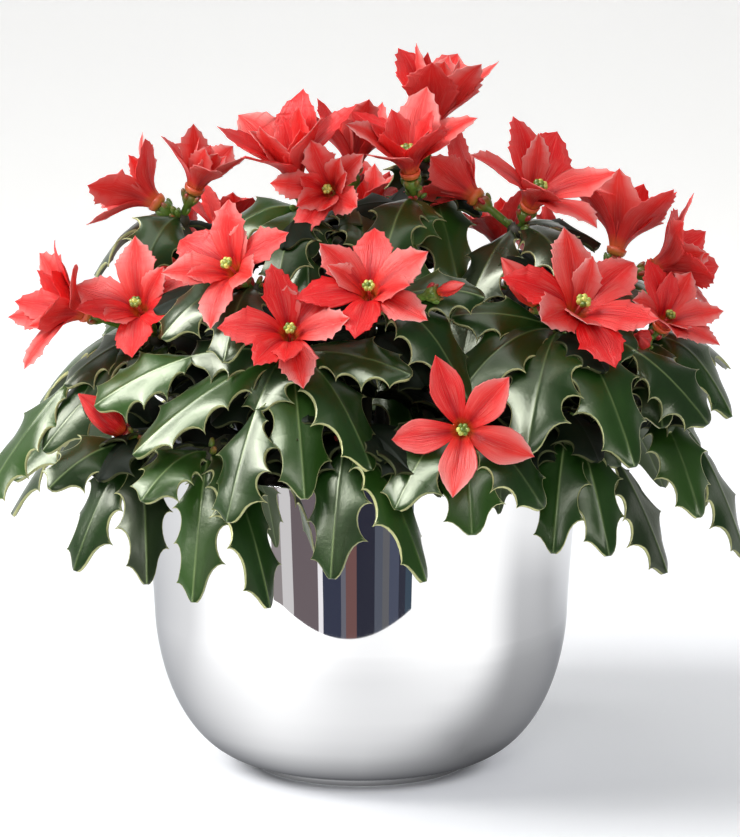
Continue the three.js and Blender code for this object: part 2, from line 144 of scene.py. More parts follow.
# A bud's radius at heights up to its tip, both as shares
BUD_SHAPE = [[0, 0.45], [0.06, 0.62], [0.25, 0.93], [0.5, 1], [0.7, 0.78], [0.85, 0.42], [1, 0.05]]

# ---- where everything grows
# A stem: [name, place of its head, leaves, blooms, buds]
# A leaf: [tip x, y, z, arch, width, roll in degrees, segments]. arch lifts the middle of the leaf's line.
# A bloom: [heading, pitch, stalk, size, opening, twist, petals], angles in degrees. It faces that way.
# A bud: [heading, pitch, stalk, size].
STEMS = [
    # front, upper tier
    ["front_left", [-31, -98, 208],
     [[-56, -138, 142, 12, 36, 10, 2], [-24, -138, 152, 8, 34, 0, 1], [4, -136, 164, 10, 38, -4, 1],
      [22, -120, 202, 4, 32, 36, 1], [-116, -92, 184, 10, 34, -42, 2], [-98, -114, 166, 6, 32, -30, 1]],
     [[-88, 38, 8, 0.86, 78, 10, 6]], []],
    ["front_mid", [5, -92, 226],
     [[54, -94, 232, 6, 32, 34, 1], [46, -114, 190, 14, 36, 20, 1]],
     [[-95, 42, 4, 0.9, 78, 100, 6]], [[-20, 20, 26, 0.5]]],
    ["front_low", [44, -110, 178],
     [[16, -142, 148, 8, 38, -14, 1], [48, -136, 136, 8, 38, 4, 1], [78, -130, 146, 6, 34, 22, 1]],
     [[-90, 10, 6, 0.92, 84, 62, 5]], []],
    ["front_right", [89, -75, 214],
     [[38, -114, 184, 12, 38, -24, 1], [72, -126, 170, 12, 42, 0, 1], [40, -84, 222, 4, 32, -34, 1],
      [152, -92, 176, 12, 36, 36, 2], [118, -118, 162, 12, 38, 14, 1]],
     [[-62, 44, 4, 1.12, 74, 35, 6]], [[-150, 50, 14, 1.0]]],
    ["left_front", [-47, -80, 234],
     [[-86, -92, 214, 8, 32, -34, 1], [-58, -118, 208, 8, 32, 0, 1]],
     [[-126, 38, 6, 0.92, 74, 26, 6]], []],
    ["left", [-92, -45, 208],
     [[-172, -52, 128, 18, 33, -26, 2], [-146, -16, 172, 12, 32, -20, 1],
      [-134, -56, 160, 12, 30, -10, 1]],
     [[-112, 42, 11, 0.9, 74, 15, 6], [-164, 22, 26, 1.0, 58, 25, 6]], []],
    # front, lower tier
    ["low_left", [-98, -72, 163],
     [[-126, -90, 110, 8, 30, -12, 1], [-136, -106, 150, 6, 28, -34, 1],
      [-94, -108, 108, 8, 28, -14, 1]],
     [], [[-150, 42, 6, 1.0]]],
    ["low_left_front", [-66, -98, 164],
     [[-72, -126, 104, 8, 29, 4, 1], [-40, -138, 104, 14, 33, -4, 1], [-94, -124, 148, 6, 31, -20, 1]],
     [], []],
    ["low_mid", [-6, -112, 170],
     [[-12, -142, 118, 10, 33, 4, 1], [27, -140, 116, 12, 32, 0, 1]],
     [], []],
    ["low_right_front", [92, -84, 176],
     [[84, -118, 124, 8, 30, -6, 1], [108, -114, 122, 8, 31, 10, 1], [134, -94, 110, 14, 34, 20, 2]],
     [], []],
    ["low_right", [132, -32, 172],
     [[152, -60, 128, 8, 32, 14, 1], [174, -40, 106, 16, 34, 18, 2], [160, -2, 122, 8, 30, 12, 1]],
     [], []],
    ["right", [128, -45, 205],
     [[166, -50, 172, 12, 33, 30, 1], [168, -8, 188, 8, 31, 20, 1], [134, -76, 172, 8, 32, 14, 1]],
     [[-50, 44, 6, 0.8, 64, 12, 6]], [[-96, 16, 6, 0.7]]],
    # crown
    ["crown_left", [-82, -18, 258],
     [[-98, -50, 238, 6, 32, -30, 1], [-122, 8, 228, 10, 30, -12, 1]],
     [[168, 36, 5, 0.95, 58, 5, 6], [-30, 64, 8, 0.8, 42, 40, 5]], []],
    ["crown_mid_left", [-26, -38, 264],
     [[-36, -82, 236, 8, 32, -6, 1], [-62, -40, 250, 6, 30, -32, 1], [-22, -66, 190, 18, 30, 0, 2]],
     [[-125, 70, 7, 1.15, 48, 15, 6]], []],
    ["crown_low", [-4, -10, 262],
     [[2, -54, 248, 6, 30, 0, 1]],
     [[80, 80, 10, 0.98, 46, 15, 6], [-104, 18, 32, 0.72, 60, 0, 5]], []],
    ["crown_mid", [24, -34, 268],
     [[10, -78, 244, 8, 30, -8, 1], [22, -76, 198, 18, 32, 0, 2]],
     [[-110, 70, 6, 1.1, 54, 35, 6]], []],
    ["crown_top", [28, 8, 280],
     [[22, 44, 262, 6, 30, 8, 1]],
     [[-20, 78, 7, 1.2, 32, 0, 6]], []],
    ["crown_right", [70, -38, 256],
     [[96, -66, 236, 6, 32, 20, 1], [106, -20, 244, 6, 30, 10, 1]],
     [[-50, 54, 6, 1.1, 66, 22, 6], [150, 34, 16, 0.9, 48, 10, 5]], []],
    ["right_back", [112, -18, 228],
     [[150, 2, 204, 8, 32, 18, 1], [126, -56, 218, 4, 24, 0, 1], [126, 36, 198, 10, 38, 3, 1]],
     [[40, 68, 8, 1.12, 44, 0, 6], [-8, 22, 14, 1.0, 58, 30, 6]], []],
    # back, lower tier
    ["back_low_right", [110, 46, 168],
     [[164, 38, 120, 10, 40, 0, 1], [148, 84, 114, 10, 40, 0, 1], [108, 100, 128, 8, 38, 0, 1]],
     [], []],
    ["back_low_mid_right", [60, 96, 170],
     [[100, 134, 110, 10, 40, 0, 1], [60, 150, 112, 10, 40, 0, 1], [30, 134, 136, 6, 38, 0, 1]],
     [], []],
    ["back_low_mid", [-6, 116, 166],
     [[22, 156, 118, 10, 38, 0, 1], [-16, 164, 106, 10, 40, 0, 1], [-46, 144, 124, 8, 38, 0, 1]],
     [[94, 30, 6, 0.94, 78, 0, 5]], []],
    ["back_low_mid_left", [-72, 92, 168],
     [[-72, 148, 110, 10, 40, 0, 1], [-112, 124, 112, 10, 40, 0, 1]],
     [], []],
    ["back_low_left", [-112, 40, 166],
     [[-146, 86, 116, 10, 40, 0, 1], [-166, 42, 108, 10, 40, 0, 1], [-162, 6, 132, 8, 38, 0, 1]],
     [], []],
    # back, upper tier
    ["back_right", [72, 44, 216],
     [[126, 62, 172, 14, 42, 0, 1], [88, 104, 168, 14, 42, 0, 1], [42, 94, 196, 8, 38, 0, 1],
      [118, 14, 196, 8, 36, 0, 1]],
     [[38, 30, 6, 0.96, 74, 0, 5], [140, 74, 12, 0.9, 48, 20, 5]], []],
    ["back_mid", [2, 66, 228],
     [[30, 124, 176, 14, 42, 0, 1], [-34, 120, 180, 14, 42, 0, 1], [36, 26, 240, 8, 36, 0, 1],
      [-30, 28, 240, 8, 36, 0, 1]],
     [[88, 32, 6, 0.96, 74, 0, 5], [-80, 74, 12, 0.9, 46, 20, 5]], []],
    ["back_left", [-70, 46, 218],
     [[-122, 64, 174, 14, 42, 0, 1], [-86, 106, 168, 14, 42, 0, 1], [-120, 18, 198, 8, 36, 0, 1]],
     [[138, 26, 7, 0.96, 74, 0, 5], [40, 74, 12, 0.9, 44, 20, 5]], []],
]

# ---- vector helpers
RIGHT, BACK, UP = np.eye(3)


def unit(v):
    return v / np.linalg.norm(v, axis=-1, keepdims=True)


def smoothstep(x, low, high):
    """0 below low, 1 above high and a smooth rise between them."""
    t = np.clip((x - low) / (high - low), 0.0, 1.0)
    return t * t * (3 - 2 * t)


def side_and_over(t, roll):
    """For each direction t, the level one to its right and the one above both, turned about t by roll."""
    side = np.cross(t, UP)
    level = np.linalg.norm(side, axis=-1, keepdims=True) < 1e-3
    side = unit(np.where(level, RIGHT, side))
    roll = np.asarray(roll)[..., None]
    side = side * np.cos(roll) + np.cross(t, side) * np.sin(roll)
    return side, unit(np.cross(side, t))


def pointing(heading, pitch):
    """The direction at a heading about +Z and a pitch above the level."""
    level = math.cos(pitch)
    return np.array([math.cos(heading) * level, math.sin(heading) * level, math.sin(pitch)])


def quadratic(a, b, c, u):
    """Points and directions along the quadratic curve a, b, c."""
    u = u[:, None]
    points = (1 - u) ** 2 * a + 2 * u * (1 - u) * b + u**2 * c
    return points, unit((1 - u) * (b - a) + u * (c - b))


def cubic(a, b, c, d, u):
    """Points and directions along the cubic curve a, b, c, d."""
    u = u[:, None]
    v = 1 - u
    points = v**3 * a + 3 * v**2 * u * b + 3 * v * u**2 * c + u**3 * d
    return points, unit(v**2 * (b - a) + 2 * v * u * (c - b) + u**2 * (d - c))


# ---- meshes
def stacked(*values):
    """Values for each point, side by side."""
    return np.stack(np.broadcast_arrays(*values), axis=-1)


def both_sides(top, low):
    """Rows that run over a blade's top and back along its under side."""
    return np.concatenate([top, low[:, ::-1]], axis=1)


def skin(rings, look, uv, material):
    """A closed body through rings of points. look and uv hold the shader's values, ring by ring."""
    rows, n = rings.shape[:2]
    i = np.arange(n)
    j = (i + 1) % n
    base = np.arange(rows - 1)[:, None] * n
    quads = np.stack([base + i, base + j, base + n + j, base + n + i], axis=-1).reshape(-1, 4)
    a, b, c, d = (rings.reshape(-1, 3)[quads[:, k]] for k in range(4))
    volume = np.einsum("ij,ij->", a, np.cross(b, c) + np.cross(c, d))
    first = list(range(n))[::-1]
    last = list(range((rows - 1) * n, rows * n))
    if volume < 0:
        quads = quads[:, ::-1]
        first.reverse()
        last.reverse()
    faces = quads.tolist() + [first, last]
    return rings.reshape(-1, 3), faces, look.reshape(-1, 4), uv.reshape(-1, 2), material


def piece(name, parts, materials, node):
    """One object from several bodies. It replaces a node of the frame and takes its place."""
    mesh = bpy.data.meshes.new(name)
    starts = np.cumsum([0] + [len(p[0]) for p in parts])
    points = np.concatenate([p[0] for p in parts]) * MM
    faces = [[v + int(s) for v in f] for p, s in zip(parts, starts) for f in p[1]]
    mesh.from_pydata(points.tolist(), [], faces)
    for m in materials:
        mesh.materials.append(m)
    index = np.concatenate([np.full(len(p[1]), p[4]) for p in parts]).astype(np.int32)
    mesh.polygons.foreach_set("material_index", index)
    mesh.polygons.foreach_set("use_smooth", np.ones(len(faces), bool))
    look = mesh.color_attributes.new(name="look", type="FLOAT_COLOR", domain="POINT")
    look.data.foreach_set("color", np.concatenate([p[2] for p in parts]).ravel())
    corner = np.empty(len(mesh.loops), np.int32)
    mesh.loops.foreach_get("vertex_index", corner)
    uv = np.concatenate([p[3] for p in parts])
    layer = mesh.uv_layers.new(name="UVMap")
    layer.data.foreach_set("uv", uv[corner].ravel())
    mesh.update()
    thing = bpy.data.objects.new(name, mesh)
    bpy.context.collection.objects.link(thing)
    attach(thing, "root")
    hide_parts(node)


def round_skin(rings, turn, tint, mark, material):
    """A body of round rings. Its look is the share along it, 0, its tint and its mark."""
    along = np.linspace(0, 1, len(rings))[:, None] + 0 * turn
    return skin(rings, stacked(along, 0.0, tint, mark), stacked(turn / TURN, along), material)


def tube(points, directions, radii, sides, tint, material, mark=0.0):
    """A round body along a line of points, of a radius for each point."""
    side, over = side_and_over(directions, np.zeros(len(points)))
    a = np.linspace(0, TURN, sides, endpoint=False)
    ring = side[:, None] * np.cos(a)[:, None] + over[:, None] * np.sin(a)[:, None]
    rings = points[:, None] + ring * np.asarray(radii, float)[:, None, None]
    return round_skin(rings, a, tint, mark, material)


Seat = namedtuple("Seat", "axis across over base")  # an axis from a base, and two directions across it


def around(seat, angle):
    """The direction, or one for each angle, that points away from the seat's axis."""
    return seat.across * np.cos(angle) + seat.over * np.sin(angle)


def lathe(seat, profile, sides, tint, material):
    """A round body about the seat's axis through [radius, height] pairs."""
    profile = np.array(profile, float)
    a = np.linspace(0, TURN, sides, endpoint=False)
    centres = seat.base + seat.axis * profile[:, 1:]
    rings = centres[:, None] + around(seat, a[:, None]) * profile[:, 0][:, None, None]
    return round_skin(rings, a, tint, 0.0, material)


def bead(centre, axis, radius, length, tint, material, sides=8):
    """A small egg: a round body from pole to pole along axis."""
    a = np.linspace(0.02, 0.98, 7) * np.pi
    points = centre - axis * (np.cos(a) * length / 2)[:, None]
    return tube(points, np.broadcast_to(axis, points.shape), np.sin(a) * radius, sides, tint, material)


# ---- leaf segments
ROW_STEPS = (0.0, 0.07, 0.22, 0.5, 0.78, 0.93)  # rows of points between a spine and the next across
COLUMNS = np.array([0, 0.05, 0.14, 0.32, 0.52, 0.72, 0.87, 0.95, 1.0])
LEAF, BARK, CALYX, STIGMA, SHADED_LEAF = range(5)


def outline(u):
    """Half width of a segment along its length, without its scallops, as a share of the widest."""
    past = np.clip(u - LEAF_SHOULDER, 0, None) / (1 - LEAF_SHOULDER)
    fall = np.sqrt(np.clip(1 - past**2, 0, 1))
    return smoothstep(u, -0.12, 0.5) * fall


def half_segment(hand, u, width, spines, bulge):
    """One side of a segment, from its rib to its margin. hand is 1 on the right and -1 on the left."""
    fade = np.clip(np.minimum(6 * u, 7 * (1 - u)), 0, 1)  # no scallops at the two ends
    phase = u * (spines + 0.5) + (0 if hand > 0 else 0.5)
    x = np.abs(2 * (phase % 1) - 1)
    scallop = 1 - np.sqrt(1 - 0.99 * x**2)
    half = width / 2 * ((1 - SPINE_SHARE) * outline(u) + SPINE_SHARE * fade * scallop)
    half = np.maximum(half, LEAF_END)
    s = COLUMNS if hand > 0 else COLUMNS[1:]
    across = half[:, None] * s
    body = width / 2 * np.maximum(outline(u), 0.05)[:, None]
    out = np.minimum(across / body, 1.2)
    lift = SPINE_LIFT * hand * np.cos(np.pi * phase + SPINE_TURNS[hand])
    rise = ((lift[:, None] - LEAF_KEEL) * out**2 + bulge * np.sin(np.pi * np.minimum(out, 1))) * body
    rib = np.exp(-((across / RIB_WIDTH) ** 2))
    rise += LEAF_RIB * np.clip(1 - out, 0, 1) + RIB_HEIGHT * rib
    lean = SPINE_LEAN * (fade * scallop)[:, None] * s**5
    edge = np.clip(1 - (half[:, None] - across) / EDGE_WIDTH, 0, 1)
    edge = np.maximum(edge, (scallop * fade)[:, None] ** 3 * smoothstep(s, 0.6, 0.95))
    rib = rib * smoothstep(u, 0.0, 0.08)[:, None]
    thick = 0.5 * (LEAF_RIM + (LEAF_MID - LEAF_RIM) * np.clip(1 - out**2, 0, 1))
    thick *= smoothstep(u, -0.3, 0.2)[:, None]
    return hand * across, rise, lean, edge, rib, thick


def segment(a, b, c, width, roll, rng):
    """A toothed blade along the quadratic curve a, b, c: scallops between spines that turn up and down."""
    length = np.linalg.norm(b - a) / 2 + np.linalg.norm(c - b) / 2 + np.linalg.norm(c - a) / 2
    length *= 0.67
    spines = max(SPINES_LEAST, round(length / SPINE_PITCH * rng.uniform(0.82, 1.12)))
    cells = 2 * spines + 1
    u = np.array([(k + f) / cells for k in range(cells) for f in ROW_STEPS] + [0.995])
    points, along = quadratic(a, b, c, u)
    side, over = side_and_over(along, roll + rng.uniform(-0.2, 0.2) * (u - 0.3))
    tint = rng.random()
    bulge = rng.uniform(0.02, 0.06)
    right = half_segment(1, u, width, spines, bulge)
    left = half_segment(-1, u, width, spines, bulge)
    # from the right margin over the rib to the left margin
    whole = (np.concatenate([r[:, ::-1], q], axis=1) for r, q in zip(right, left))
    across, rise, lean, edge, rib, thick = whole
    centre = points[:, None] + side[:, None] * across[..., None] + along[:, None] * lean[..., None]
    top = centre + over[:, None] * (rise + thick)[..., None]
    low = centre + over[:, None] * (rise - thick - RIB_KEEL * rib)[..., None]
    edges, ribs, x_uv = (both_sides(v, v) for v in (edge, rib, across / 100))
    under = np.repeat([0.0, 1.0], across.shape[1])
    uv = stacked(x_uv, (u * length / 100)[:, None])
    return skin(both_sides(top, low), stacked(edges, ribs, tint, under), uv, LEAF)


def leaf(head, spec, rng):
    """A chain of one or two segments on one arched line from the joint's surface to the tip."""
    tip = np.array(spec[:3], float)
    arch, width, roll, segments = spec[3:]
    roll = math.radians(roll)
    control = (head + tip) / 2 + UP * 2 * arch
    base = head + LEAF_ROOT * unit(control - head)
    if segments == 1:
        return [segment(base, control, tip, width, roll, rng)]
    ab = (base + control) / 2
    bc = (control + tip) / 2
    mid = (ab + bc) / 2
    start = mid + SEGMENT_OVERLAP * (ab - mid)
    return [segment(base, ab, mid, width, roll, rng), segment(start, bc, tip, width, roll, rng)]


# ---- stalks, joints and calyxes
def stalk_line(head):
    """The stalk's curve from the soil to the joint at its head."""
    # the higher its head, the nearer to the middle a stalk is rooted
    share = np.clip(0.64 - 0.003 * (head[2] - 165), 0.32, 0.64)
    foot = np.array([share * head[0], share * head[1], SOIL_EDGE - ROOT_DEPTH])
    outward = unit(head * [1, 1, 0])
    rise = 0.55 * (head[2] - foot[2])
    bend = head - 20 * outward + UP * np.clip(0.8 * (196 - head[2]), -40, 20)
    return cubic(foot, foot + UP * rise, bend, head, np.linspace(0, 1, STALK_STEPS))


def stalk(head):
    """The bare stalk below a joint, with a few knots."""
    points, directions = stalk_line(head)
    swell = STALK_RADIUS * (1 + KNOT_SWELL * np.cos(np.linspace(0, KNOTS * np.pi, STALK_STEPS)) ** 8)
    return tube(points, directions, swell, 12, 0.5, BARK)


def seat_of(head, heading, pitch, reach):
    """Where a bloom or bud sits: on the top of its calyx."""
    axis = pointing(math.radians(heading), math.radians(pitch))
    across, over = side_and_over(axis, 0.0)
    return Seat(axis, across, over, head + axis * (reach + CALYX_LENGTH))


def calyx(head, spec, rng, is_open):
    """The stub of a bloom or bud with its calyx of five lobes and, if the bloom is open, its stigma."""
    seat = seat_of(head, *spec[:3])
    reach, size = spec[2:4]
    foot = -reach - CALYX_LENGTH
    stub = [[0.1, foot], [STUB_RADIUS, foot], [STUB_RADIUS, -CALYX_LENGTH]]
    parts = [lathe(seat, stub + CALYX_CUP, 14, rng.random(), CALYX)]
    for k in range(LOBES):
        out = around(seat, TURN * (k + rng.uniform(-0.15, 0.15)) / LOBES)
        leaning = unit(seat.axis + out * rng.uniform(0.3, 0.6))
        centre = seat.base + out * 3.6 + seat.axis * -1.6
        parts.append(bead(centre, leaning, 1.25, rng.uniform(4, 6), rng.random(), CALYX))
    return parts + stigma(seat, size, rng) if is_open else parts


def stigma(seat, size, rng):
    """The style that stands in an open bloom, with a ring of knobs and one more on its top."""
    top = STIGMA_HEIGHT * size
    points = seat.base + seat.axis * (np.array([0.0, 0.5, 1.0]) * (top - 3))[:, None]
    axes = np.broadcast_to(seat.axis, points.shape)
    parts = [tube(points, axes, [STYLE_RADIUS] * 3, 8, 1, STIGMA, mark=1)]
    knob = 1.6 * size + 0.2
    for k in range(KNOBS + 1):
        out = around(seat, TURN * k / KNOBS)
        middle = k == KNOBS
        ring = 0.0 if middle else STIGMA_RADIUS * 0.55 * size
        centre = seat.base + seat.axis * (top - 1.5 + (0.7 if middle else 0)) + out * ring
        axis = unit(seat.axis + 0.5 * out)
        parts.append(bead(centre, axis, knob * 0.8, knob * 2, rng.random(), STIGMA))
    return parts


def joint(head, rng, crowded):
    """The swelling where segments meet, with a few small buds of the coming blooms on its upper side."""
    parts = [bead(head, UP, JOINT_RADIUS, 2 * JOINT_RADIUS, 0.4, BARK, sides=16)]
    for _ in range(JOINT_BUDS[crowded]):
        out = pointing(rng.uniform(0, TURN), rng.uniform(0.15, 1.2))
        length = rng.uniform(3.5, 6.5)
        centre = head + out * (JOINT_RADIUS + length * 0.3)
        parts.append(bead(centre, out, length * 0.26, length, rng.random(), CALYX))
    return parts


def inner_leaves(name, head, rng):
    """More segments along a stem's stalk: those in FILLERS, and short ones that close its inside, in a
    nearly black leaf material that paints the shade there.
    """
    points, _ = stalk_line(head)
    last = len(points) - 1
    parts = []
    for place, x, y, z, width, roll in (row[1:] for row in FILLERS if row[0] == name):
        parts += leaf(points[round(place * last)], [x, y, z, INNER_ARCH, width, roll, 1], rng)
    for place in INNER_PLACES:
        root = points[round(place * last)]
        outward = math.atan2(root[1], root[0]) + rng.choice([-1, 1]) * rng.uniform(0.3, 2.6)
        reach = rng.uniform(0.8, 1.15) * INNER_LENGTH
        tip = root + pointing(outward, 0) * reach * 0.8 - UP * reach * rng.uniform(0.1, 0.5)
        tip = np.clip(tip, INNER_LOW, INNER_HIGH)
        spec = [*tip, INNER_ARCH, INNER_WIDTH * rng.uniform(0.85, 1.1), rng.uniform(-30, 30), 1]
        parts += [(*part[:4], SHADED_LEAF) for part in leaf(root, spec, rng)]
    return parts


# ---- blooms and buds
PETAL, THROAT = range(2)
PETAL_ROWS = np.array([0, 0.05, 0.11, 0.18, 0.25, 0.32, 0.39, 0.46, 0.53, 0.59, 0.65, 0.7, 0.75, 0.79, 0.83,
                       0.87, 0.9, 0.93, 0.96, 0.985, 1.0])
PETAL_COLUMNS = np.array([-1, -0.93, -0.8, -0.62, -0.42, -0.24, -0.1, 0,
                          0.1, 0.24, 0.42, 0.62, 0.8, 0.93, 1])


def petal_line(length, opening, curl):
    """Radius, height and lean of a petal's middle line, at even steps from the tube to the tip."""
    steps = 60
    t = (np.arange(steps) + 0.5) / steps
    start = math.radians(8)
    lean = start + (math.radians(opening) - start) * smoothstep(t, -0.15, 0.62)
    lean = lean + curl * smoothstep(t, 0.6, 1.1)
    r = np.concatenate([[2.6], 2.6 + np.cumsum(np.sin(lean)) * length / steps])
    h = np.concatenate([[1.5], 1.5 + np.cumsum(np.cos(lean)) * length / steps])
    return r, h, np.concatenate([[start], lean])


def petal(seat, size, opening, angle, rng, toothed=1.0):
    """A cupped blade with ruffled sides, and with teeth towards its tip as high as toothed says."""
    length = PETAL_LENGTH * size * rng.uniform(0.94, 1.04)
    r, h, lean = petal_line(length, opening + rng.uniform(-5, 5), rng.uniform(-0.25, 0.55))
    notches = [TEETH_FROM + TEETH_SPAN * (np.arange(TEETH) + rng.random(TEETH)) / TEETH for _ in range(2)]
    extra = [n + d for pair in notches for n in pair for d in (-0.02, 0.0, 0.012)]
    t = np.unique(np.round(np.concatenate([PETAL_ROWS, extra]), 4))
    grid = np.linspace(0, 1, len(r))
    r, h, lean = (np.interp(t, grid, q) for q in (r, h, lean))
    out = around(seat, angle)
    side = np.cross(seat.axis, out)
    inward = seat.axis * np.sin(lean)[:, None] - out * np.cos(lean)[:, None]
    turn = rng.uniform(-0.3, 0.3) * t
    across = side * np.cos(turn)[:, None] + inward * np.sin(turn)[:, None]
    inward = inward * np.cos(turn)[:, None] - side * np.sin(turn)[:, None]
    sway = rng.uniform(-2.5, 2.5) * t**2
    points = seat.base + seat.axis * h[:, None] + out * r[:, None] + side * sway[:, None]
    full = PETAL_WIDTH / 2 * size * rng.uniform(0.94, 1.12) * (0.88 + 0.12 * toothed)
    x = np.clip((t - PETAL_SHOULDER) / PETAL_TAPER, 0, 1)
    half = full * (0.24 + 0.76 * smoothstep(t, 0.0, 0.58)) * (1 - x) ** 1.1 * (1 + 1.05 * x)
    s = PETAL_COLUMNS
    wide = np.repeat(half[:, None], len(s), axis=1)
    for hand, pair in zip((-1, 1), notches):
        for n in pair:
            tooth = np.interp(t, [n - TOOTH_RISE, n, n + TOOTH_FALL], [0, 1, 0])
            tooth = tooth * full * rng.uniform(0.05, 0.2) * toothed
            wide += tooth[:, None] * (np.sign(s) == hand)
    wide = np.maximum(wide, 0.1)
    cup = 0.5 * (1 - smoothstep(t, 0.0, 0.45)) + rng.uniform(-0.02, 0.16)
    waves = rng.uniform(0, TURN, 2)
    wave = np.where(s < 0, np.sin(9 * t + waves[0])[:, None], np.sin(10 * t + waves[1])[:, None])
    ruffle = 0.10 * smoothstep(t, 0.25, 0.75)[:, None] * wave
    fold = rng.uniform(0.03, 0.09) * np.exp(-((s / 0.16) ** 2)) * (1 - x)[:, None]
    rise = half[:, None] * (cup[:, None] * s**2 + ruffle * s**2 - fold)
    thick = 0.5 * (PETAL_RIM + (PETAL_MID - PETAL_RIM) * (1 - s**2)) * (1 - 0.6 * x)[:, None]
    middle = points[:, None] + across[:, None] * (wide * s)[..., None]
    top = middle + inward[:, None] * (rise + thick)[..., None]
    low = middle + inward[:, None] * (rise - thick)[..., None]
    place = np.concatenate([s, s[::-1]])
    under = np.repeat([0.0, 1.0], len(s))
    look = stacked(t[:, None], np.abs(place), rng.random(), under)
    return skin(both_sides(top, low), look, stacked(place / 2 + 0.5, t[:, None]), PETAL)


def bloom(head, spec, rng):
    """Petals in an outer whorl and, unless the bloom lies flat, an inner one, on a short hollow tube."""
    seat = seat_of(head, *spec[:3])
    size, opening, twist, petals = spec[3:]
    parts = [lathe(seat, TUBE_WALL, 20, rng.random(), THROAT)]
    flat = opening > FLAT_OPENING
    for i in range(petals):
        angle = math.radians(twist + 360 * i / petals + rng.uniform(-8, 8))
        step = -0.5 if i % 2 else 0.5
        lean = opening + step * WHORL_STEP + rng.uniform(-6, 6)
        parts.append(petal(seat, size, lean, angle, rng, 0.25 if flat else 1.0))
    inner = 0 if flat else 2 if opening > WIDE_OPENING else 5
    for i in range(inner):
        angle = math.radians(twist + 360 * (i + 0.5) / inner + rng.uniform(-20, 20))
        parts.append(petal(seat, size * rng.uniform(0.68, 0.85), opening - INNER_STEP, angle, rng))
    return parts


def bud(head, spec, rng):
    """Folded petals wrapped round each other, drawn to a bent point."""
    seat = seat_of(head, *spec[:3])
    size = spec[3]
    h = np.linspace(0, 1, 30)
    column = h[:, None]
    a = np.linspace(0, TURN, 36, endpoint=False)
    wrap = 0.10 * np.sin(3 * a + 3.2 * column) + 0.05 * np.sin(7 * a - 2 * column)
    r = np.interp(h, *zip(*BUD_SHAPE))[:, None] * (1 + wrap) * BUD_RADIUS * size
    fold = np.abs(np.sin(1.5 * a + 1.6 * column))
    bend = BUD_BEND * size * h**2
    centre = seat.base + seat.axis * (GAP + h * BUD_LENGTH * size)[:, None]
    centre = centre + seat.across * bend[:, None]
    rings = centre[:, None] + around(seat, a[:, None]) * r[..., None]
    look = stacked(0.1 + 0.5 * column, fold, rng.random(), 0.0)
    return [skin(rings, look, stacked(a / TURN * 3, column), PETAL)]


# ---- planter and soil
def bowl(t, inset):
    """Points of the bowl's curve from the foot to the belly, at shares t of it, moved in by inset."""
    a = t * np.pi / 2
    start = FOOT_RADIUS - FOOT_STEP
    r = start + (BELLY_RADIUS - start) * np.sin(a) ** BOWL_FULLNESS - inset * np.sin(a) ** 0.6
    z = FOOT_HEIGHT + (BELLY_HEIGHT - FOOT_HEIGHT) * (1 - np.cos(a) ** BOWL_FULLNESS) + inset * np.cos(a)
    return np.stack([r, z], axis=-1)


UPRIGHT = Seat(UP, RIGHT, BACK, np.zeros(3))


def eased(corner, before, after, radius, steps=5):
    """Points of a rounded corner between its two neighbours."""
    corner, before, after = (np.array(p, float) for p in (corner, before, after))
    a = corner + radius * unit(before - corner)
    b = corner + radius * unit(after - corner)
    t = np.linspace(0, 1, steps)[:, None]
    return ((1 - t) ** 2 * a + 2 * t * (1 - t) * corner + t**2 * b).tolist()


def planter():
    """The steel bowl, turned from one closed profile."""
    curve = bowl(np.linspace(0, 1, 48), 0)
    inner = bowl(np.linspace(0, 1, 32), WALL)[::-1]
    top = [RIM_RADIUS, POT_HEIGHT]
    inside = [RIM_RADIUS - WALL, POT_HEIGHT]
    step = [FOOT_RADIUS, FOOT_HEIGHT]
    under = [FOOT_RADIUS, 0]
    profile = [[0.1, 0], [FOOT_RADIUS * 0.6, 0]]
    profile += eased(under, [0, 0], step, LIP)
    profile += eased(step, under, curve[0], LIP * 0.5)
    profile += curve[:-BELLY_EASE].tolist()
    profile += eased(curve[-1], curve[-BELLY_EASE], top, BELLY_BLEND, 24)
    # above the belly the wall is straight
    belly = np.array(profile[-1])
    profile += (belly + np.linspace(0, 1, 12)[1:-1, None] * (top - belly)).tolist()
    profile += eased(top, curve[-1], inside, LIP)
    profile += eased(inside, top, inner[0], LIP)
    profile += inner.tolist()
    profile += [[FOOT_RADIUS * 0.5, inner[-1][1]], [0.1, inner[-1][1]]]
    return [lathe(UPRIGHT, profile, 256, 0, 0)]


def soil(rng):
    """The crowned soil with a rough top, and loose crumbs on it."""
    slope = (RIM_RADIUS - BELLY_RADIUS) / (POT_HEIGHT - BELLY_HEIGHT)
    edge = BELLY_RADIUS - WALL - GAP + slope * (SOIL_EDGE - BELLY_HEIGHT)
    floor = bowl(np.linspace(0, 1, 12), WALL + GAP)
    shares = np.linspace(1, 0.001, 34)
    top = np.stack([edge * shares, SOIL_CROWN + (SOIL_EDGE - SOIL_CROWN) * shares], axis=-1)
    profile = np.concatenate([[[0.1, floor[0][1]]], floor, top])
    body = lathe(UPRIGHT, profile, 120, 0, 0)
    points = body[0]
    upper = (points[:, 2] > SOIL_EDGE - 0.5) & (np.hypot(points[:, 0], points[:, 1]) < edge - 1)
    points[upper, 2] += rng.uniform(-1.6, 1.4, upper.sum())
    parts = [body]
    for _ in range(CRUMBS):
        r = edge * math.sqrt(rng.random()) * 0.97
        a = rng.uniform(0, TURN)
        size = rng.uniform(0.8, 2.6)
        z = SOIL_CROWN + (SOIL_EDGE - SOIL_CROWN) * r / edge + size * 0.2
        axis = unit(rng.normal(size=3))
        centre = np.array([r * math.cos(a), r * math.sin(a), z])
        parts.append(bead(centre, axis, size, size * 2.4, rng.random(), 0, sides=6))
    return parts


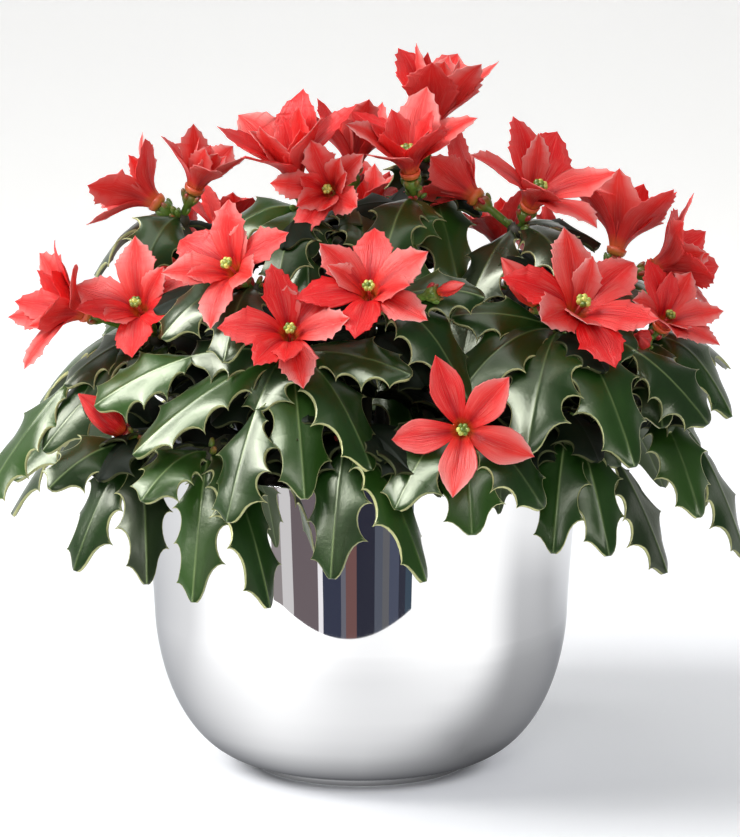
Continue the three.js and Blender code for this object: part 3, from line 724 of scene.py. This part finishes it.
# ---- materials
class Shader:
    """A material's node tree, with short calls for the nodes that are used here."""

    def __init__(self, name):
        self.material = bpy.data.materials.new(name)
        self.material.use_nodes = True
        self.nodes = self.material.node_tree.nodes
        self.links = self.material.node_tree.links
        self.surface = self.nodes["Principled BSDF"]

    def node(self, kind, **settings):
        n = self.nodes.new("ShaderNode" + kind)
        for key, value in settings.items():
            setattr(n, key, value)
        return n

    def put(self, socket, value):
        """Link a node's output to the socket, or set the socket to a value."""
        if isinstance(value, bpy.types.NodeSocket):
            self.links.new(value, socket)
        elif socket.type == "RGBA":
            socket.default_value = (*value, 1.0)
        else:
            socket.default_value = value

    def look(self):
        """The four values that each piece carries at its points."""
        source = self.node("Attribute", attribute_name="look")
        split = self.node("SeparateColor")
        self.put(split.inputs["Color"], source.outputs["Color"])
        return (*split.outputs, source.outputs["Alpha"])

    def math(self, operation, a, b):
        n = self.node("Math", operation=operation)
        self.put(n.inputs[0], a)
        self.put(n.inputs[1], b)
        return n.outputs[0]

    def times(self, a, b):
        return self.math("MULTIPLY", a, b)

    def plus(self, a, b):
        return self.math("ADD", a, b)

    def span(self, value, low, high, to_low=0.0, to_high=1.0):
        n = self.node("MapRange", clamp=True)
        for socket, v in zip(n.inputs, (value, low, high, to_low, to_high)):
            self.put(socket, v)
        return n.outputs[0]

    def mix(self, share, a, b):
        n = self.node("Mix", data_type="RGBA")
        colours = [s for s in n.inputs if s.type == "RGBA"]
        self.put(n.inputs[0], share)
        self.put(colours[0], a)
        self.put(colours[1], b)
        return n.outputs[2]

    def noise(self, scale, detail, where="Object", stretch=None):
        place = self.node("TexCoord").outputs[where]
        if stretch:
            m = self.node("Mapping")
            self.put(m.inputs["Scale"], stretch)
            self.put(m.inputs["Vector"], place)
            place = m.outputs[0]
        n = self.node("TexNoise")
        self.put(n.inputs["Vector"], place)
        self.put(n.inputs["Scale"], scale)
        self.put(n.inputs["Detail"], detail)
        return n.outputs[0]

    def bump(self, height, strength, distance, below=None):
        n = self.node("Bump")
        self.put(n.inputs["Strength"], strength)
        self.put(n.inputs["Distance"], distance)
        self.put(n.inputs["Height"], height)
        if below:
            self.put(n.inputs["Normal"], below)
        return n.outputs[0]

    def shine_through(self, colour, normal, share):
        """Lets a share of the light through to the far side, as a thin petal does."""
        thin = self.node("BsdfTranslucent")
        self.put(thin.inputs["Color"], colour)
        self.put(thin.inputs["Normal"], normal)
        both = self.node("MixShader")
        self.put(both.inputs[0], share)
        self.put(both.inputs[1], self.surface.outputs[0])
        self.put(both.inputs[2], thin.outputs[0])
        self.put(self.nodes["Material Output"].inputs["Surface"], both.outputs[0])

    def textured(self, colour, texture, rough, relief, distance, **sockets):
        """Finish a surface whose roughness and relief follow one texture."""
        return self.finish(Base_Color=colour, Roughness=self.span(texture, 0.2, 0.8, *rough),
                           Normal=self.bump(texture, relief, distance), **sockets)

    def finish(self, **sockets):
        for name, value in sockets.items():
            self.put(self.surface.inputs[name.replace("_", " ")], value)
        return self.material


def leaf_material():
    m = Shader("leaf")
    edge, rib, tint, under = m.look()
    mottle = m.noise(45, 4)
    fine = m.noise(700, 2)
    deep = m.mix(mottle, (0.003, 0.016, 0.002), (0.013, 0.052, 0.005))
    warm = m.mix(m.span(tint, 0.72, 0.95), deep, (0.012, 0.026, 0.008))
    top = m.mix(m.span(tint, 0.4, 0.0, 0.0, 0.7), warm, (0.03, 0.088, 0.01))
    back = m.mix(mottle, (0.03, 0.065, 0.018), (0.06, 0.09, 0.028))
    colour = m.mix(m.times(under, 0.85), top, back)
    patches = m.noise(28, 2)
    ribs = m.times(m.span(rib, 0.3, 1.0), m.span(patches, 0.35, 0.65, 0.2, 0.55))
    colour = m.mix(ribs, colour, (0.24, 0.33, 0.12))
    edges = m.times(m.span(edge, 0.4, 0.9), m.span(patches, 0.3, 0.6, 1.0, 0.5))
    colour = m.mix(edges, colour, (0.6, 0.6, 0.27))
    rough = m.span(m.plus(mottle, m.times(under, 0.7)), 0.3, 1.3, 0.27, 0.48)
    normal = m.bump(fine, 0.25, 0.0003, m.bump(m.noise(90, 3), 0.12, 0.001))
    return m.finish(Base_Color=colour, Roughness=rough, Normal=normal, IOR=1.5,
                    Coat_Weight=0.3, Coat_Roughness=0.22, Coat_IOR=1.5,
                    Specular_Tint=(0.95, 1.0, 0.74))


def shaded_leaf_material():
    m = Shader("shaded_leaf")
    edge, _, _, _ = m.look()
    mottle = m.noise(60, 4)
    # painted shade: a nearly black, duller copy of the leaf for the plant's shaded inside
    colour = m.mix(mottle, (0.002, 0.005, 0.002), (0.006, 0.013, 0.004))
    colour = m.mix(m.span(edge, 0.4, 0.9, 0.0, 0.5), colour, (0.1, 0.11, 0.04))
    return m.textured(colour, mottle, (0.5, 0.65), 0.2, 0.001, Specular_IOR_Level=0.12)


def bark_material():
    m = Shader("bark")
    grain = m.noise(160, 4, stretch=(1, 1, 0.3))
    colour = m.mix(grain, (0.012, 0.02, 0.006), (0.05, 0.042, 0.018))
    return m.textured(colour, grain, (0.5, 0.7), 0.5, 0.0006)


def calyx_material():
    m = Shader("calyx")
    along, _, tint, _ = m.look()
    mottle = m.noise(600, 2)
    green = m.mix(mottle, (0.05, 0.14, 0.015), (0.17, 0.27, 0.035))
    red = m.mix(mottle, (0.3, 0.012, 0.02), (0.5, 0.04, 0.035))
    blush = m.times(m.span(along, 0.35, 0.9), m.span(tint, 0.35, 0.6))
    colour = m.mix(m.math("MAXIMUM", blush, m.span(tint, 0.78, 0.84)), green, red)
    return m.textured(colour, mottle, (0.25, 0.4), 0.2, 0.0003)


def stigma_material():
    m = Shader("stigma")
    _, _, tint, stem = m.look()
    speck = m.noise(900, 2)
    knob = m.mix(m.span(m.plus(speck, tint), 0.6, 1.4), (0.1, 0.17, 0.01), (0.62, 0.62, 0.12))
    red = m.mix(speck, (0.45, 0.02, 0.03), (0.7, 0.08, 0.05))
    return m.textured(m.mix(stem, knob, red), speck, (0.35, 0.55), 0.4, 0.0003)


def petal_material():
    m = Shader("petal")
    along, edge, tint, under = m.look()
    streak = m.noise(3.5, 3, where="UV", stretch=(9, 0.9, 1))
    cloud = m.noise(55, 3)
    coral = m.mix(tint, (0.88, 0.009, 0.012), (0.94, 0.036, 0.026))
    crimson = (0.42, 0.002, 0.012)
    middle = m.times(m.span(edge, 0.5, 0.0), m.span(along, 0.85, 0.25))
    colour = m.mix(m.times(middle, m.span(streak, 0.2, 0.7, 0.45, 1.0)), coral, crimson)
    # pale pink towards the sides and tip, in patches: partly the petal's own colour, partly painted sheen
    pale_and_sheen = m.times(m.span(edge, 0.25, 1.0), m.span(along, 0.3, 0.95))
    pale_and_sheen = m.times(pale_and_sheen, m.span(m.plus(cloud, tint), 0.55, 1.25))
    colour = m.mix(pale_and_sheen, colour, (0.92, 0.46, 0.42))
    colour = m.mix(m.span(streak, 0.5, 0.76, 0.0, 0.45), colour, (0.93, 0.24, 0.19))
    colour = m.mix(m.span(along, 0.2, 0.02), colour, (0.8, 0.22, 0.025))
    colour = m.mix(m.times(under, 0.2), colour, (0.86, 0.12, 0.1))
    normal = m.bump(streak, 0.45, 0.0012, m.bump(cloud, 0.2, 0.002))
    m.shine_through(colour, normal, 0.25)
    return m.finish(Base_Color=colour, Roughness=m.span(cloud, 0.2, 0.8, 0.34, 0.46), Normal=normal,
                    Specular_IOR_Level=0.3)


def throat_material():
    m = Shader("throat")
    along, _, _, _ = m.look()
    mottle = m.noise(300, 2)
    colour = m.mix(m.span(along, 0.1, 0.5), (0.4, 0.34, 0.04), (0.72, 0.1, 0.03))
    colour = m.mix(m.times(mottle, 0.4), colour, (0.8, 0.08, 0.03))
    return m.finish(Base_Color=colour, Roughness=m.span(mottle, 0.2, 0.8, 0.35, 0.5))


def steel_material():
    m = Shader("polished_steel")
    smear = m.noise(9, 5)
    colour = m.mix(smear, (0.9, 0.905, 0.92), (0.96, 0.962, 0.965))
    spun = m.noise(60, 2, stretch=(0.02, 0.02, 1))
    return m.finish(Base_Color=colour, Metallic=1.0, Roughness=m.span(smear, 0.35, 0.75, 0.01, 0.022),
                    Normal=m.bump(spun, 0.01, 0.0005), Specular_Tint=(0.7, 0.71, 0.73))


def soil_material():
    m = Shader("soil")
    crumb = m.noise(350, 5)
    colour = m.mix(crumb, (0.01, 0.006, 0.004), (0.055, 0.035, 0.02))
    return m.textured(colour, crumb, (0.75, 0.95), 0.9, 0.002)


# ---- the pot and the plant
rng = np.random.default_rng(SEED)
GREENS = [leaf_material(), bark_material(), calyx_material(), stigma_material(), shaded_leaf_material()]
REDS = [petal_material(), throat_material()]
piece("planter_shell", planter(), [steel_material()], "planter")
piece("potting_soil", soil(rng), [soil_material()], "soil")

bloom_count = 0
bud_count = 0
for name, place, leaves, blooms, buds in STEMS:
    head = np.array(place, float)
    parts = [stalk(head)] + joint(head, rng, bool(blooms or buds))
    for spec in leaves:
        parts += leaf(head, spec, rng)
    parts += inner_leaves(name, head, rng)
    for spec in blooms:
        parts += calyx(head, spec, rng, True)
        bloom_count += 1
        node = f"bloom_{bloom_count:02d}"
        piece("petals_" + node, bloom(head, spec, rng), REDS, node)
    for spec in buds:
        parts += calyx(head, spec, rng, False)
        bud_count += 1
        node = f"bud_{bud_count}"
        piece("petals_" + node, bud(head, spec, rng), REDS, node)
    piece("leafy_stem_" + name, parts, GREENS, "stem_" + name)


# ---- studio
CAMERA_TARGET = Vector((4.2, 0.0, 163.4)) * MM
CAMERA_DISTANCE = 1.7
CAMERA_ELEVATION = math.radians(10)
FRAME_HEIGHT = 0.3892  # height of the picture at the target
SENSOR = 36.0


def studio_camera():
    data = bpy.data.cameras.new("camera")
    data.sensor_fit = "VERTICAL"
    data.sensor_height = SENSOR
    data.lens = SENSOR * CAMERA_DISTANCE / FRAME_HEIGHT
    camera = bpy.data.objects.new("camera", data)
    back = Vector((0, -math.cos(CAMERA_ELEVATION), math.sin(CAMERA_ELEVATION)))
    camera.location = CAMERA_TARGET + back * CAMERA_DISTANCE
    camera.rotation_euler = (-back).to_track_quat("-Z", "Y").to_euler()
    bpy.context.collection.objects.link(camera)
    bpy.context.scene.camera = camera


def stage_mesh(name, points, faces, material):
    mesh = bpy.data.meshes.new(name)
    mesh.from_pydata(points, [], faces)
    mesh.materials.append(material)
    mesh.polygons.foreach_set("use_smooth", np.ones(len(faces), bool))
    thing = bpy.data.objects.new(name, mesh)
    bpy.context.collection.objects.link(thing)
    return thing


def paper_material():
    """White paper with painted light: it glows by its distance from the pot, so that it stays near white
    all round.
    """
    m = Shader("paper")
    grain = m.noise(300, 3)
    colour = m.mix(grain, (0.8, 0.805, 0.81), (0.84, 0.845, 0.85))
    place = m.node("TexCoord").outputs["Object"]
    length = m.node("VectorMath", operation="LENGTH")
    m.put(length.inputs[0], place)
    away = length.outputs[1]
    # painted light: no glow under the foot, some beside it that lightens the pot's shade there, the most at
    # about 1.4 m and less again beyond
    foot = m.times(m.span(away, 0.05, 0.062), m.span(away, 0.07, 0.2, 0.26, 0.13))
    near = m.plus(foot, m.span(away, 0.1, 1.3, 0.0, 0.42))
    glow = m.plus(near, m.span(away, 1.5, 2.4, 0.0, -0.15))
    # the painted glow is bluer near the pot and warmer far off
    glow_tint = m.mix(m.span(away, 0.8, 1.9), (0.95, 0.975, 1.05), (1.0, 0.98, 0.93))
    return m.finish(Base_Color=colour, Roughness=m.span(grain, 0.2, 0.8, 0.55, 0.65),
                    Emission_Color=glow_tint, Emission_Strength=glow)


def painted_reflection_material():
    """For the boards that show only as reflections, as painted reflections that glow. Their points carry
    the colours.
    """
    m = Shader("painted_reflection_board")
    source = m.node("Attribute", attribute_name="look")
    m.put(m.surface.inputs["Emission Color"], source.outputs["Color"])
    return m.finish(Base_Color=(0, 0, 0), Roughness=0.8, Emission_Strength=1.0)


def backdrop():
    """A paper sweep: the floor, and a wall that rises from it in a wide curve behind the pot."""
    half, front, back, bend, top = 24.0, -24.0, 1.6, 1.2, 5.0
    line = [(front, 0.0), (back, 0.0)]
    for a in np.linspace(0, math.pi / 2, 16)[1:]:
        line.append((back + bend * math.sin(a), bend * (1 - math.cos(a))))
    line.append((back + bend, top))
    points = [(x, y, z) for y, z in line for x in (-half, half)]
    faces = [(2 * k, 2 * k + 1, 2 * k + 3, 2 * k + 2) for k in range(len(line) - 1)]
    stage_mesh("backdrop", points, faces, paper_material())


def painted_reflection_board(name, low, high, colours, far_colours, material):
    """A board between two rows of points, with a colour at each, that glows as a painted reflection. It
    shows only as a reflection.
    """
    n = len(low)
    faces = [(k, k + 1, n + k + 1, n + k) for k in range(n - 1)]
    board = stage_mesh(name, [tuple(p) for p in (*low, *high)], faces, material)
    look = board.data.color_attributes.new(name="look", type="FLOAT_COLOR", domain="POINT")
    values = np.array([(*c, 1.0) for c in (*colours, *far_colours)])
    look.data.foreach_set("color", values.ravel())
    board.visible_camera = False
    board.visible_shadow = False
    board.visible_diffuse = False


def mirrored(angle, reach, height):
    """The place that the pot's wall shows at an angle off its middle, at a reach from the wall."""
    a = math.radians(angle)
    radius = BELLY_RADIUS * MM
    x = radius * math.sin(a) + reach * math.sin(2 * a)
    y = -radius * math.cos(a) - reach * math.cos(2 * a)
    return (x, y, height)


STRIPES_FROM = -24.2  # angle on the pot's wall where the first stripe starts
STRIPES = [  # painted reflection of the room: [angle where a stripe ends, its colour], from left to right
    (-21.5, (0.27, 0.24, 0.24)),
    (-18.4, (0.6, 0.58, 0.58)),
    (-11.5, (0.13, 0.1, 0.11)),
    (-10.2, (0.85, 0.83, 0.85)),
    (-5.3, (0.02, 0.025, 0.055)),
    (-4.0, (0.12, 0.12, 0.15)),
    (-1.1, (0.15, 0.065, 0.06)),
    (3.7, (0.008, 0.009, 0.025)),
    (5.8, (0.07, 0.08, 0.11)),
    (7.6, (0.1, 0.1, 0.11)),
    (10.2, (0.05, 0.06, 0.1)),
    (12.0, (0.01, 0.012, 0.03)),
    (13.8, (0.025, 0.05, 0.08)),
]


def painted_stripe_reflection(material):
    """A curved board with upright stripes, low in front of the pot, painted as the room's reflection in the
    steel. Its lower edge is a shallow arc.
    """
    reach, top, foot, arc = 0.2, 0.25, 0.0092, 0.013
    middle, half_width = -3.0, 21.2
    angles, colours = [], []
    before = STRIPES_FROM
    for angle, colour in STRIPES:
        steps = np.linspace(before, angle, 4)
        angles += steps.tolist()
        colours += [colour] * len(steps)
        before = angle + 0.02
    low = [mirrored(a, reach, foot + arc * ((a - middle) / half_width) ** 2) for a in angles]
    high = [mirrored(a, reach, top) for a in angles]
    painted_reflection_board("painted_stripe_reflection", low, high, colours, colours, material)


FLOOR_HEIGHT = 0.0006  # of the board on the floor
FLOOR_RINGS = [0.052, 0.058, 0.065, 0.075, 0.085, 0.1, 0.12, 0.15, 0.19, 0.24, 0.3, 0.38, 0.48, 0.6, 0.9]
# painted light and shadow in the steel's reflection of the floor: [distance, brightness] from the pot's
# axis, and [x, depth] of the pot's own shade
FLOOR_LIGHT = [[0.052, 0.12], [0.065, 0.28], [0.075, 0.42], [0.085, 0.6], [0.1, 0.72], [0.124, 0.82],
               [0.175, 0.93], [0.28, 1.08], [0.6, 1.15]]
SHADE_DEPTH = [[0.0, 0.0], [0.06, 0.66], [0.2, 0.64], [0.35, 0.56], [0.5, 0.15]]


def painted_floor_light(x, y):
    """Painted light and shade: how bright the steel shows the floor at a place, dim close to the foot and
    in the pot's own shade.
    """
    r = np.hypot(x, y)
    near = np.interp(r, *zip(*FLOOR_LIGHT))
    side = np.degrees(np.arctan2(x, -y))
    near = near * (1 + 0.2 * np.exp(-(((side + 34) / 22) ** 2)))  # painted light, brighter at the front left
    # painted shade: darker in front of the pot, from about 0.11 to 0.36 m out
    painted_front_shade = smoothstep(r, 0.11, 0.2) * (1 - smoothstep(r, 0.3, 0.36)) * np.exp(-((side / 26) ** 2))
    near = near * (1 - 0.16 * painted_front_shade)
    spread = 0.02 + 0.16 * np.maximum(x, 0)  # painted shadow of the pot on the floor to its right; its edge softens further out
    shade = smoothstep((y + 0.088) / spread, -1.0, 1.0) * (1 - smoothstep(y, 0.1, 0.42))
    depth = np.interp(x, *zip(*SHADE_DEPTH))
    # painted shade: darker at the left, beside the pot and a little behind it
    left = smoothstep(y, -0.1, 0.05) * (1 - smoothstep(y, 0.25, 0.65)) * smoothstep(-x, 0.03, 0.1)
    return near * (1 - depth * shade) * (1 - 0.36 * left)


def painted_floor_reflection(material):
    """A round board on the floor about the pot, ring by ring, that paints the floor's light and shadow into
    the steel's reflection, a little bluer where it is dim.
    """
    a = np.linspace(0, TURN, 129)
    places = [[(r * math.cos(b), r * math.sin(b), FLOOR_HEIGHT) for b in a] for r in FLOOR_RINGS]
    for k, pair in enumerate(zip(places, places[1:])):
        values = [[painted_floor_light(x, y) for x, y, _ in row] for row in pair]
        shades = [[(v * (0.955 + 0.045 * v), v * (0.965 + 0.035 * v), v) for v in row] for row in values]
        painted_reflection_board(f"painted_floor_reflection_{k}", *pair, *shades, material)


def area_light(name, place, target, width, height, radiance):
    """A rectangle of light that faces the target."""
    data = bpy.data.lights.new(name, "AREA")
    data.shape = "RECTANGLE"
    data.size, data.size_y = width, height
    data.energy = radiance * math.pi * width * height
    light = bpy.data.objects.new(name, data)
    light.location = place
    light.rotation_euler = (Vector(target) - Vector(place)).to_track_quat("-Z", "Y").to_euler()
    bpy.context.collection.objects.link(light)
    return light


def studio():
    """A dim sky, soft lights at the left, above and in front, and one that only adds shine."""
    world = bpy.data.worlds.new("world")
    world.use_nodes = True
    sky = world.node_tree.nodes["Background"].inputs
    sky["Color"].default_value = (0.93, 0.97, 1.08, 1)
    sky["Strength"].default_value = 0.14
    bpy.context.scene.world = world
    area_light("key", (-1.25, -0.29, 1.2), (0, 0, 0.15), 0.8, 0.8, 14.4)
    sheen = area_light("sheen", (-0.8, -0.65, 1.35), (0, 0, 0.2), 0.9, 0.8, 16)
    sheen.visible_diffuse = False
    area_light("top", (0.15, 0.0, 1.6), (0, 0, 0.15), 1.0, 0.8, 2)
    area_light("front", (0.2, -2.2, 1.3), (0, 0, 0.2), 1.2, 0.8, 7)
    bpy.context.scene.view_settings.view_transform = "Standard"


studio_camera()
backdrop()
board_material = painted_reflection_material()
painted_stripe_reflection(board_material)
painted_floor_reflection(board_material)
studio()
